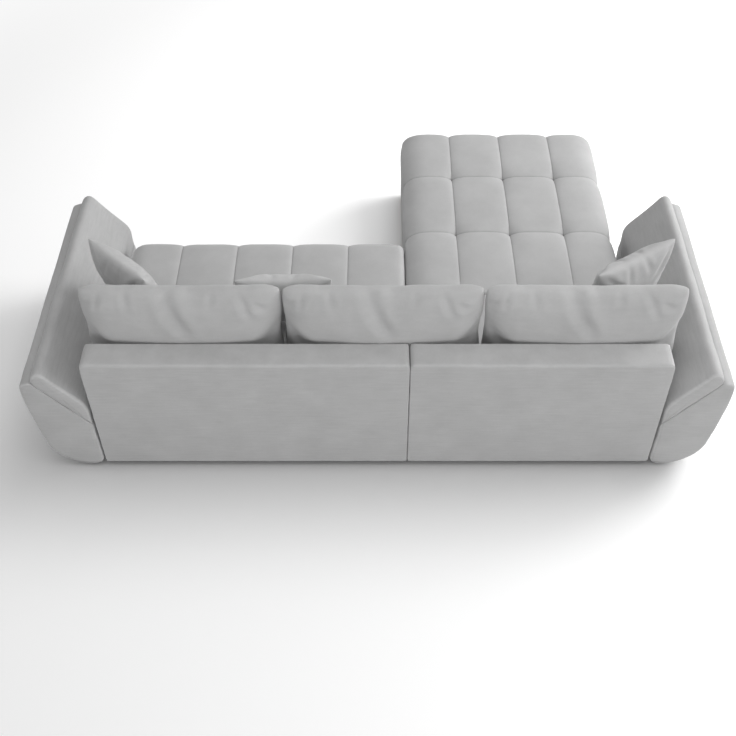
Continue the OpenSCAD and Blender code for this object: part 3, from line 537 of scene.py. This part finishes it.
def quilted_pad(name, xs, ys, sides, ends, corners, board, material, top=SEAT_TOP, base=PAD_BASE,
                seam=0.010, crossing=TUFT, bulge=0.006, scallop=0.004, painted_highlight=0.2, hinge_y=None):
    """A pad over cells between the seam lines xs and ys, from base to top.

    sides and ends are (reach, drop) of the roll at the low and high x and y, corners the
    plan radius at the front and the rear, and board the low and high x and y that the cover
    is drawn over at its foot. seam and crossing are how deep the seams and their crossings
    go, bulge how far the walls swell, scallop how far the cells stand out between the seams
    in plan, and painted_highlight how strong the painted highlight beside the seams is. The
    seams carry painted shade, darker where they cross. Towards an edge over hinges, hinge_y,
    the seams run out so that the cloth hides them."""
    gx, gy = np.meshgrid(cell_lines(xs), cell_lines(ys))
    near_x, near_y = to_seam(xs, gx), to_seam(ys, gy)
    if hinge_y is not None:
        near_x *= np.clip(np.abs(gy - hinge_y) / 0.05, 0, 1) ** 0.5
    qx, qy = (1 - np.sqrt(np.maximum(0, 1 - near ** 2.6)) for near in (near_x, near_y))
    z = top - seam * (qx + qy) - crossing * (near_x * near_y) ** 5
    z -= rolled(gx - xs[0], *sides[0]) + rolled(xs[-1] - gx, *sides[1])
    z -= rolled(gy - ys[0], *ends[0]) + rolled(ys[-1] - gy, *ends[1])
    m, n = gx.shape
    deepest = np.maximum(qx, qy)
    for j in range(m):
        for i in range(n):
            worn = noise.noise(Vector((gx[j, i] * 6, gy[j, i] * 6, 3.1)))
            pucker = abs(noise.noise(Vector((gx[j, i] * 34, gy[j, i] * 34, 1.7))))
            z[j, i] += 0.0022 * worn
            z[j, i] -= 0.0012 * pucker * min(1, 3 * deepest[j, i])
    x, y = gx.copy(), gy.copy()
    for low, high, at, q, moved in ((xs[0], xs[-1], gx, qy, x), (ys[0], ys[-1], gy, qx, y)):
        for border, sign in ((low, -1), (high, 1)):
            moved += sign * scallop * (0.6 - 1.6 * q) * np.clip(1 - np.abs(at - border) / 0.06, 0, 1) ** 2
    for cx, sx in ((xs[0], -1), (xs[-1], 1)):
        for cy, sy, r in ((ys[0], -1, corners[0]), (ys[-1], 1, corners[1])):
            a = np.clip((sx * (x - cx) + r) / r, 0, 1.2)
            b = np.clip((sy * (y - cy) + r) / r, 0, 1.2)
            inside = (a > 0) & (b > 0)
            x = np.where(inside, cx - sx * r + sx * r * a * np.sqrt(1 - np.minimum(b, 1) ** 2 / 2), x)
            y = np.where(inside, cy - sy * r + sy * r * b * np.sqrt(1 - np.minimum(a, 1) ** 2 / 2), y)
    points = [(x[j, i], y[j, i], z[j, i]) for j in range(m) for i in range(n)]
    # Painted light on the velour: a painted highlight on the flanks beside each seam, painted shade along
    # the seam line and deeper painted shade where seams cross
    pale = np.exp(-((deepest - 0.6) / 0.2) ** 2) * painted_highlight - 2.6 * (deepest > 0.97)
    pale -= crossing / TUFT * 3.5 * (near_x * near_y) ** 22
    outer = (gx == xs[0]) | (gx == xs[-1]) | (gy == ys[0]) | (gy == ys[-1])
    edge = list(np.where(outer, 0.0, pale).ravel())
    faces = [(j * n + i, j * n + i + 1, (j + 1) * n + i + 1, (j + 1) * n + i)
             for j in range(m - 1) for i in range(n - 1)]
    rim = list(range(n - 1)) + [j * n + n - 1 for j in range(m - 1)]
    rim += [(m - 1) * n + i for i in range(n - 1, 0, -1)] + [j * n for j in range(m - 1, 0, -1)]
    groove = np.array([(qx if k < n or k >= (m - 1) * n else qy).ravel()[k] for k in rim])
    groove[[k in (0, n - 1, (m - 1) * n, m * n - 1) for k in rim]] = 0
    brim = np.array([points[k] for k in rim])
    foot = np.stack([np.interp(gx.ravel()[rim], (xs[0], xs[-1]), board[:2]),
                     np.interp(gy.ravel()[rim], (ys[0], ys[-1]), board[2:])], 1)
    out = outward(brim[:, :2])
    previous = rim
    count = len(rim)
    for s in WALL_RINGS:
        shift = bulge * math.sin(math.pi * s) - groove * 0.004 * (1 - s)
        level = brim[:, :2] + (foot - brim[:, :2]) * min(1, s / 0.8) ** 2 + out * shift[:, None]
        row = list(range(len(points), len(points) + count))
        points += [(*p, z + (base - z) * s) for p, z in zip(level, brim[:, 2])]
        edge += [0.0] * count
        faces += [(previous[k], row[k], row[(k + 1) % count], previous[(k + 1) % count])
                  for k in range(count)]
        previous = row
    faces.append(tuple(reversed(previous)))
    piece = cloth_piece(name, points, faces, material, edge)
    return piece


ROW_REAR = 0.7557
MAIN_SEAMS = [-0.119, 0.128, 0.375, 0.622, 0.869, 1.097]
seat = quilted_pad("seat_quilt", MAIN_SEAMS, [-0.072, 0.279, ROW_REAR], material=seat_velour,
                   sides=((0.028, 0.022), (0.070, 0.045)), ends=((0.070, 0.070), (0.019, 0.019)),
                   corners=(0.032, 0.010), board=(-0.1245, 1.1285, -0.072, ROW_REAR),
                   crossing=0.006, bulge=0.003, painted_highlight=0.5)
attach(seat, "sofa")
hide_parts("seat_pad")

CHAISE_SEAMS = [-1.074, -0.851, -0.606, -0.361, -0.127]
CHAISE_SIDES = ((0.115, 0.052), (0.115, 0.052))
HINGE_FRONT, HINGE_REAR = 0.2765, 0.2815
rear_seat = quilted_pad("chaise_rear_quilt", CHAISE_SEAMS, [HINGE_REAR, ROW_REAR], material=seat_velour,
                        sides=CHAISE_SIDES, ends=((0.012, 0.004), (0.019, 0.019)), corners=(0.006, 0.006),
                        board=(-1.074, -0.127, HINGE_REAR, ROW_REAR), base=0.2803, scallop=0.001,
                        hinge_y=HINGE_REAR)
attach(rear_seat, "sofa")
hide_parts("chaise_rear_pad")

lid_seat = quilted_pad("chaise_lid_quilt", CHAISE_SEAMS, [-0.872, -0.513, -0.117, HINGE_FRONT],
                       material=seat_velour, sides=CHAISE_SIDES, ends=((0.045, 0.045), (0.012, 0.004)),
                       corners=(0.018, 0.006), board=(-1.0745, -0.1265, -0.8745, 0.2782),
                       hinge_y=HINGE_FRONT)
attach(lid_seat, "lid")
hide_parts("lid_pad")

# Upholstered drawer and chaise faces
# Thin foam under velour is stretched round the drawer's front board and the chaise's box
# and stapled behind, so their edges are small and even.
DRAWER_FACE_Y = -0.075
CHAISE_FRONT_Y = -0.875
CHAISE_OUTER_X, CHAISE_INNER_X = -1.082, -0.127
CHAISE_BOARDS_Z = (0.030, 0.2557)


def board_outline(p0, p1, q0, q1, r):
    """A rectangle from (p0, q0) to (p1, q1) with corners rounded by r."""
    return (arc(p1 - r, q0 + r, r, -90, 0, 4) + arc(p1 - r, q1 - r, r, 0, 90, 4)
            + arc(p0 + r, q1 - r, r, 90, 180, 4) + arc(p0 + r, q0 + r, r, 180, 270, 4))


for name, stands_for, body, span, thick, place in (
        ("drawer_face", "drawer_front_face", "drawer", (-0.121, 1.123, 0.030, 0.253), 0.026,
         lambda p, q, s: (p, DRAWER_FACE_Y + s, q)),
        ("chaise_front_face", "chaise_face_front", "sofa",
         (CHAISE_OUTER_X, CHAISE_INNER_X, *CHAISE_BOARDS_Z), 0.0118,
         lambda p, q, s: (p, CHAISE_FRONT_Y + s, q)),
        ("chaise_inner_face", "chaise_face_inner", "sofa", (-0.7567, 0.863, *CHAISE_BOARDS_Z), 0.0118,
         lambda p, q, s: (CHAISE_INNER_X - s, -p, q)),
        ("chaise_outer_face", "chaise_face_outer", "sofa", (-0.7567, 0.863, *CHAISE_BOARDS_Z), 0.0118,
         lambda p, q, s: (CHAISE_OUTER_X + s, -p, q))):
    face = upholstered(name, board_outline(*span, 0.006), place, length=thick, edge_r=0.0035, step=0.004,
                       ripple=0.0004, seam=0.0, dome=0.0)
    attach(face, body)
    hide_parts(stands_for)

# Pull loop of the bed drawer
# A 40 mm strap of grey polypropylene webbing is folded into a loop and stapled behind the
# drawer's face. Its weave shows as cross ribs 3 mm wide with grooves as wide between them.
RIB = 0.003
LOOP_X, LOOP_Z = 0.501, 0.188
LOOP_REACH, LOOP_R = 0.008, 0.0235

# How many bands, light and dark together, a Wave texture of scale 1 draws in a metre
BANDS = 6.283

# The strap's outline, across and up, in millimetres
STRAP = ((-20, 0.6), (-19, 1.4), (-10, 1.5), (0, 1.4), (10, 1.5), (19, 1.4), (20, 0.6),
         (20, -0.6), (19, -1.4), (10, -1.5), (0, -1.4), (-10, -1.5), (-19, -1.4), (-20, -0.6))
webbing = blank_material("woven_polypropylene_webbing")
web_place = add_node(webbing, "TexCoord")
ribs = add_node(webbing, "TexWave",
                [("bands_direction", "Z"), ("Scale", 1 / RIB / BANDS), ("Distortion", 0.4)],
                [("Vector", web_place.outputs["Object"])])
web_tone = add_node(
    webbing, "Mix", [("data_type", "RGBA"), (COLOUR_A, linear("#4A4A4C")), (COLOUR_B, linear("#66666A"))],
    [(0, ribs.outputs[0])])
web_bump = add_node(webbing, "Bump", [("Strength", 0.5), ("Distance", 0.0008)],
                    [("Height", ribs.outputs[0])])
woven = add_node(webbing, "BsdfPrincipled", [("Roughness", 0.7), ("Sheen Weight", 0.1)],
                 [("Base Color", web_tone.outputs[MIXED]), ("Normal", web_bump.outputs[0])])
add_node(webbing, "OutputMaterial", links=[("Surface", woven.outputs[0])])

loop_line = [(0.0, LOOP_R)] + arc(LOOP_REACH, 0.0, LOOP_R, 90, -90, 20) + [(0.0, -LOOP_R)]
loop_points, loop_faces = [], []
for k, (d, up) in enumerate(loop_line):
    before, after = loop_line[max(0, k - 1)], loop_line[min(len(loop_line) - 1, k + 1)]
    run = Vector((after[0] - before[0], after[1] - before[1])).normalized()
    skin = Vector((-run.y, run.x))
    for width, thick in STRAP:
        loop_points.append((LOOP_X + width / 1000, DRAWER_FACE_Y - d - skin.x * thick / 1000,
                            LOOP_Z + up + skin.y * thick / 1000))
count = len(STRAP)
for k in range(len(loop_line) - 1):
    a, b = k * count, (k + 1) * count
    loop_faces += [(a + i, a + (i + 1) % count, b + (i + 1) % count, b + i) for i in range(count)]
loop_faces += [tuple(range(count)), tuple(range(len(loop_points) - 1, len(loop_points) - 1 - count, -1))]
pull_loop = cloth_piece("pull_loop_webbing", loop_points, loop_faces, webbing, [0.0] * len(loop_points))
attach(pull_loop, "drawer")
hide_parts("drawer_strap")

# Mattress of the bed drawer
# A 14 cm foam mattress in quilted cream ticking lies on the lifting platform. The ticking is
# a damask with a fine diagonal twill, drawn in lines 5 mm wide because the real 1 mm would
# not show.
TWILL = 0.005
MATTRESS_ROLL = ((0.02, 0.02), (0.02, 0.02))
ticking = blank_material("quilted_cream_ticking")
tick_place = add_node(ticking, "TexCoord")
tick_turn = add_node(ticking, "Mapping", [("Rotation", (0, 0, 0.785))],
                     [("Vector", tick_place.outputs["Object"])])
twill = add_node(ticking, "TexWave", [("Scale", 1 / TWILL / BANDS), ("Distortion", 1.2), ("Detail", 2.0)],
                 [("Vector", tick_turn.outputs[0])])
tick_tone = add_node(
    ticking, "Mix", [("data_type", "RGBA"), (COLOUR_A, linear("#DEDBD2")), (COLOUR_B, linear("#E9E6DE"))],
    [(0, twill.outputs[0])])
tick_bump = add_node(ticking, "Bump", [("Strength", 0.2), ("Distance", 0.0006)],
                     [("Height", twill.outputs[0])])
damask = add_node(ticking, "BsdfPrincipled", [("Roughness", 0.8), ("Sheen Weight", 0.1)],
                  [("Base Color", tick_tone.outputs[MIXED]), ("Normal", tick_bump.outputs[0])])
add_node(ticking, "OutputMaterial", links=[("Surface", damask.outputs[0])])
mattress = quilted_pad("mattress_quilt", list(np.linspace(-0.059, 1.063, 8)),
                       list(np.linspace(-0.033, 0.563, 5)), material=ticking, sides=MATTRESS_ROLL,
                       ends=MATTRESS_ROLL, corners=(0.02, 0.02), board=(-0.058, 1.062, -0.032, 0.562),
                       top=0.2475, base=0.1084, seam=0.004, crossing=0.003, bulge=0.002, scallop=0.0)
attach(mattress, "drawer")
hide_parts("mattress")

# Back cushions
# Three loose cushions of fibre in velour stand on the seats against the back. Each is two
# panels sewn at the edge and stuffed hard, so it swells, its seam puckers and the upper
# corners stay pinched as ears. The same cushion is made three times.
CUSHION = (0.768, 0.200, 0.430)
CUSHION_Y, CUSHION_Z = 0.6567, 0.6196
CUSHION_RESTS_AT = 0.4246
# Its grey is a shade darker than the frames' velour: painted shade on the cushions
cushion_velour = velour("grey_velour_on_cushions", "#B6B6B6", 0.045, 0.03, (1, 1, 5))


def stuffed(width, height, start, cells, pressure, frames):
    """Two sewn panels blown up by Blender's cloth with gravity off, as a grid of points.

    start is how thick they are before, and their points stand closer towards the seam.
    Returns the points, the faces and each point's place (u, v, side) on the panels."""
    nx, ny = cells
    crowd = 1.25
    us = np.sin(np.linspace(-crowd, crowd, nx + 1)) / math.sin(crowd)
    vs = np.sin(np.linspace(-crowd, crowd, ny + 1)) / math.sin(crowd)
    where, index, faces = [], {}, []
    for side in (-1, 1):
        for j in range(ny + 1):
            for i in range(nx + 1):
                key = (0 if i in (0, nx) or j in (0, ny) else side, i, j)
                if key not in index:
                    index[key] = len(where)
                    where.append((us[i], vs[j], key[0]))
    for side in (-1, 1):
        for j in range(ny):
            for i in range(nx):
                corners = ((i, j), (i + 1, j), (i + 1, j + 1), (i, j + 1))
                quad = [index[(0 if a in (0, nx) or b in (0, ny) else side, a, b)] for a, b in corners]
                faces.append(quad if side < 0 else quad[::-1])
    where = np.array(where)
    u, v, side = where.T
    crown = (1 - np.abs(u) ** 2.4) ** 0.5 * (1 - np.abs(v) ** 2.2) ** 0.5
    points = np.stack([width / 2 * u, start / 2 * crown * side, height / 2 * v], 1)
    mesh = bpy.data.meshes.new("blown_panels")
    mesh.from_pydata(points.tolist(), [], faces)
    blown = bpy.data.objects.new("blown_panels", mesh)
    bpy.context.scene.collection.objects.link(blown)
    cloth = blown.modifiers.new("cloth", "CLOTH")
    cloth.settings.quality = 6
    cloth.settings.mass = 0.4
    cloth.settings.tension_stiffness = 20
    cloth.settings.compression_stiffness = 20
    cloth.settings.shear_stiffness = 8
    cloth.settings.bending_stiffness = 0.6
    cloth.settings.air_damping = 2
    cloth.settings.use_pressure = True
    cloth.settings.uniform_pressure_force = pressure
    cloth.settings.effector_weights.gravity = 0
    cloth.point_cache.frame_start = 1
    cloth.point_cache.frame_end = frames
    scene = bpy.context.scene
    for step in range(1, frames + 1):
        scene.frame_set(step)
    shape = blown.evaluated_get(bpy.context.evaluated_depsgraph_get()).to_mesh()
    points = np.array([p.co for p in shape.vertices])
    scene.frame_set(1)
    bpy.data.objects.remove(blown)
    return points, faces, where


def trimmed(points, where, size, side_line, top_line, full, blown_share, blunt):
    """Brings blown panels to a cushion's size and outline, with their puckers kept in part.

    The outline has half widths side_line(v, sign) and half heights top_line(u, sign), full
    gives how square the swelling is across and upwards, blown_share how much of the blown
    shape stays in it, and blunt how far the corners are drawn in, in metres."""
    u, v, side = where.T
    out = points * (np.array(size) / 2 / np.abs(points).max(0))
    smooth = np.stack([size[0] / 2 * u, size[1] / 2 * side * (1 - np.abs(u) ** full[0]) ** 0.5
                       * (1 - np.abs(v) ** full[1]) ** 0.5, size[2] / 2 * v], 1)
    out = smooth + (out - smooth) * np.array([0.3 * blown_share, blown_share, 0.3 * blown_share])
    corner = blunt * np.abs(u * v) ** 9
    out[:, 0] = out[:, 0] * side_line(v, np.sign(u)) - np.sign(u) * corner
    out[:, 2] = out[:, 2] * top_line(u, np.sign(v)) - np.sign(v) * corner
    return out * (np.array(size) / 2 / np.abs(out).max(0))


def creased(points, side, folds):
    """Presses folds (x, z, direction in degrees, length, width, depth) into one panel."""
    out = points.copy()
    for x, z, turn, length, width, depth in folds:
        a = math.radians(turn)
        along = (points[:, 0] - x) * math.cos(a) + (points[:, 2] - z) * math.sin(a)
        across = (points[:, 2] - z) * math.cos(a) - (points[:, 0] - x) * math.sin(a)
        valley = np.exp(-(along / length) ** 2 - (across / width) ** 2)
        ridge = 0.45 * np.exp(-(along / length) ** 2 - ((np.abs(across) - 1.7 * width) / width) ** 2)
        out[:, 1] -= side * depth * (valley - ridge) * (points[:, 1] * side > 0)
    return out


def cushion_side(v, sign):
    """The cushion's sides: one bows in a little, and both draw in towards the foot."""
    bow = np.where(sign < 0, 0.014, 0.0) * np.exp(-((v + 0.05) / 0.30) ** 2)
    return 1 - bow - 0.12 * np.clip(-v - 0.50, 0, 1) ** 1.5


def cushion_top(u, sign):
    """The cushion's top and foot: a slight sag, three dents and corners drawn in."""
    dents = (0.014 * np.exp(-((u + 0.08) / 0.07) ** 2) + 0.010 * np.exp(-((u - 0.62) / 0.06) ** 2)
             + 0.008 * np.exp(-((u + 0.66) / 0.05) ** 2))
    corners = np.where(sign < 0, 0.25, 0.06) * np.clip(np.abs(u) - 0.86, 0, 1) ** 1.3
    return 1 - 0.012 * (1 - u * u) - dents - corners


blown, cushion_faces, cushion_grid = stuffed(0.800, 0.470, start=0.05, cells=(84, 50), pressure=6.0,
                                             frames=26)
cushion = trimmed(blown, cushion_grid, CUSHION, cushion_side, cushion_top, full=(5.5, 2.8),
                  blown_share=0.32, blunt=0.011)
rear_folds = [(0.035, 0.150, 68, 0.075, 0.026, 0.013), (-0.005, 0.085, 60, 0.050, 0.022, 0.010),
              (-0.245, 0.165, 62, 0.045, 0.015, 0.010), (-0.300, 0.160, 20, 0.035, 0.013, 0.007),
              (0.345, 0.165, -35, 0.030, 0.013, 0.009), (0.310, 0.175, -70, 0.025, 0.011, 0.007),
              (0.200, 0.185, 80, 0.030, 0.014, 0.006), (-0.120, 0.190, 100, 0.030, 0.014, 0.005),
              (-0.345, 0.020, -50, 0.060, 0.026, 0.012), (0.335, 0.010, 50, 0.060, 0.026, 0.012)]
front_folds = [(-0.06, 0.12, 110, 0.06, 0.022, 0.009), (0.22, 0.13, 60, 0.05, 0.018, 0.008),
               (0.33, 0.165, 30, 0.035, 0.014, 0.008), (-0.33, 0.165, -30, 0.035, 0.014, 0.008),
               (-0.18, -0.12, 75, 0.05, 0.018, 0.006), (0.10, -0.14, 100, 0.05, 0.018, 0.006)]
cushion = creased(creased(cushion, 1, rear_folds), -1, front_folds)


def seam_highlight(where):
    """Painted highlight along the sewn edge, for the velour."""
    u, v = where.T[:2]
    return 0.6 * np.exp(-((1 - np.maximum(np.abs(u), np.abs(v))) / 0.05) ** 2)


def place_cushion(name, stands_for, material, points, faces, where, turn, middle, rests_at, seed):
    """Stands a cushion or pillow in its CAD place, flat where it rests on the seat.

    Its lowest part is pressed flat within 12 mm of rests_at, and seed gives it dents of its
    own, up to 4 mm deep."""
    pressed = 0.012
    settled = []
    for p in points:
        p = turn @ Vector(p)
        soft = noise.noise(Vector((p.x * 5 + seed, p.y * 5, p.z * 5))) * 0.004
        p = p + Vector((0, soft, soft * 0.7)) + Vector(middle)
        if p.z < rests_at + pressed:
            p.z = rests_at + pressed * math.exp((p.z - rests_at - pressed) / pressed)
        settled.append(p)
    piece = cloth_piece(name, settled, faces, material, seam_highlight(where))
    smooth = piece.modifiers.new("fine_cloth", "SUBSURF")
    smooth.levels = smooth.render_levels = 1
    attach(piece, stands_for)
    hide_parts(stands_for)


for name, x, seed in (("main", 0.746, 3.0), ("middle", -0.024, 11.0), ("chaise", -0.794, 19.0)):
    place_cushion(f"loose_cushion_{name}", f"back_cushion_{name}", cushion_velour, cushion, cushion_faces,
                  cushion_grid, Matrix.Identity(3), (x, CUSHION_Y, CUSHION_Z), CUSHION_RESTS_AT, seed)

# Throw pillows
# Three small square pillows of the same velour lean in front of the cushions. They are
# filled more loosely, so folds run in from their corners and lower edges. Their velour is
# painted a shade paler than the frames': painted light.
PILLOW = (0.378, 0.150, 0.378)
pillow_velour = velour("grey_velour_on_pillows", "#BFBFBF", 0.045, 0.03, (1, 1, 5))


def pillow_edge(at, sign):
    """Each edge of the pillow bows in between its ears."""
    return 1 - 0.060 * (1 - at * at)


blown, pillow_faces, pillow_grid = stuffed(0.420, 0.420, start=0.04, cells=(44, 44), pressure=5.0,
                                           frames=26)
pillow = trimmed(blown, pillow_grid, PILLOW, pillow_edge, pillow_edge, full=(3.0, 2.1), blown_share=0.35,
                 blunt=0.006)
corner_folds = [(0.12, 0.13, 45, 0.05, 0.014, 0.010), (-0.12, 0.13, -45, 0.05, 0.014, 0.010),
                (0.11, -0.12, -50, 0.05, 0.013, 0.008), (-0.11, -0.12, 50, 0.05, 0.013, 0.008),
                (0.05, 0.14, 100, 0.03, 0.012, 0.006), (-0.04, 0.15, 75, 0.03, 0.012, 0.006),
                (0.14, 0.06, 20, 0.030, 0.013, 0.007), (-0.14, 0.04, -15, 0.030, 0.013, 0.007),
                (0.13, -0.02, -12, 0.030, 0.012, 0.005), (-0.13, -0.03, 10, 0.030, 0.012, 0.005)]
pillow = creased(creased(pillow, 1, corner_folds), -1, corner_folds)

# Size against the full pillow, place of the middle, turns to the side, back and round in
# degrees, and height of the seat below
for name, share, middle, turns, rests_at, seed in (
        ("arm", 0.96, (0.996, 0.4178, 0.604), (1.5, -13.0, -43), 0.4235, 31.0),
        ("middle", 1.0, (0.365, 0.483, 0.600), (0, -23.3, 1.3), 0.4235, 37.0),
        ("chaise", 1.0, (-1.008, 0.4178, 0.6203), (4.3, -12.3, 30.6), 0.4195, 43.0)):
    roll, lean, yaw = (math.radians(t) for t in turns)
    turn = Matrix.Rotation(yaw, 3, "Z") @ Matrix.Rotation(lean, 3, "X") @ Matrix.Rotation(roll, 3, "Y")
    place_cushion(f"pillow_{name}", f"throw_pillow_{name}", pillow_velour, pillow * share, pillow_faces,
                  pillow_grid, turn, middle, rests_at, seed)
